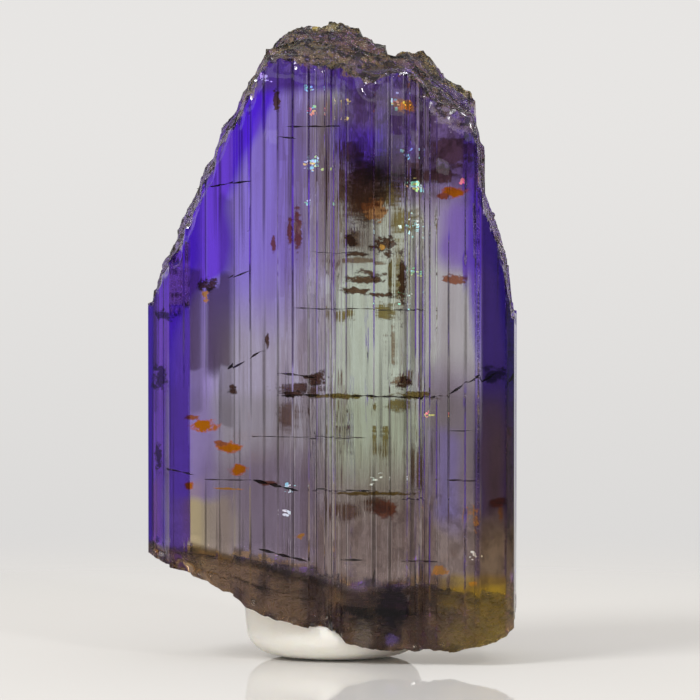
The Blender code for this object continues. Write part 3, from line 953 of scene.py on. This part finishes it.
floor_mesh = bpy.data.meshes.new("floor")
bm = bmesh.new()
bmesh.ops.create_circle(bm, cap_ends=True, segments=96, radius=BOARD_RADIUS)
bm.to_mesh(floor_mesh)
bm.free()
floor = bpy.data.objects.new("floor", floor_mesh)
bpy.context.scene.collection.objects.link(floor)
floor_material, tree, shader = material_of("pale_board")
shader.inputs["Base Color"].default_value = (*BOARD_COLOUR, 1)
shader.inputs["Roughness"].default_value = 1.0
shader.inputs["Specular IOR Level"].default_value = 0.0
gloss = node(tree, "BsdfGlossy", [("Color", (*GLOSS_COLOUR, 1)), ("Roughness", 0.03)])
board = node(tree, "MixShader", [(0, GLOSS_SHARE), (1, shader.outputs[0]), (2, gloss)])
place = node(tree, "TexCoord", output="Object")
reach = node(tree, "VectorMath", [(0, place)], output="Value", operation="LENGTH")
clear = node(tree, "BsdfTransparent")
dimmed = calc(tree, "MULTIPLY", mirrored_rays(tree), MIRRORED_LOSS)
gone = calc(tree, "MAXIMUM", rise(tree, reach, FADE_START, FADE_END), dimmed)
faded = node(tree, "MixShader", [(0, gone), (1, board), (2, clear)])
tree.links.new(faded, tree.nodes["Material Output"].inputs["Surface"])
floor_mesh.materials.append(floor_material)

# The backdrop is a little darker low down. What mirrors it sees less of it, as through a polariser, apart
# from the low band that the board mirrors and the part right behind the crystal.
BACKDROP_LOW = (0.70, 0.69, 0.68)
BACKDROP = (0.80, 0.785, 0.77)
MIRRORED_LEAST = 0.10
MIRRORED_LOW = 0.75
MIRRORED_HIGH = 0.14

world = bpy.data.worlds.new("studio")
world.use_nodes = True
tree = world.node_tree
backdrop = tree.nodes["Background"]
direction = node(tree, "TexCoord", output="Generated")
up = node(tree, "SeparateXYZ", [(0, direction)], "Z")
ahead = node(tree, "SeparateXYZ", [(0, direction)], "Y")
tone = mixed(tree, rise(tree, up, -0.10, 0.01), BACKDROP_LOW, BACKDROP)
tree.links.new(tone, backdrop.inputs["Color"])
low_band = product(tree, rise(tree, up, 0.021, 0.045), rise(tree, up, 0.24, 0.156))
low_share = calc(tree, "MULTIPLY", low_band, MIRRORED_LOW)
high_share = calc(tree, "MULTIPLY", rise(tree, up, 0.15, 0.3), MIRRORED_HIGH)
seen = calc(tree, "ADD", calc(tree, "ADD", low_share, high_share), MIRRORED_LEAST)
seen = calc(tree, "MAXIMUM", seen, rise(tree, ahead, 0.80, 0.97))
strength = node(tree, "Mix", [(0, mirrored_rays(tree)), (2, 1.0), (3, seen)])
tree.links.new(strength, backdrop.inputs["Strength"])
bpy.context.scene.world = world
bpy.context.scene.view_settings.view_transform = "Standard"


def soft_light(name, place, size, watts):
    """A square soft box in millimetres from the origin, aimed at the crystal's middle."""
    light = bpy.data.lights.new(name, "AREA")
    light.size = size * MM
    light.energy = watts
    lamp = bpy.data.objects.new(name, light)
    bpy.context.scene.collection.objects.link(lamp)
    lamp.location = Vector(place) * MM
    lamp.rotation_euler = (PICTURE_MIDDLE - Vector(place)).to_track_quat("-Z", "Y").to_euler()


# Soft boxes: one high at the left, and a small one at the right for sparks on the breaks
soft_light("key_light", (-180, -160, 260), 120, 0.65)
soft_light("spark_light", (120, -220, 160), 25, 0.15)
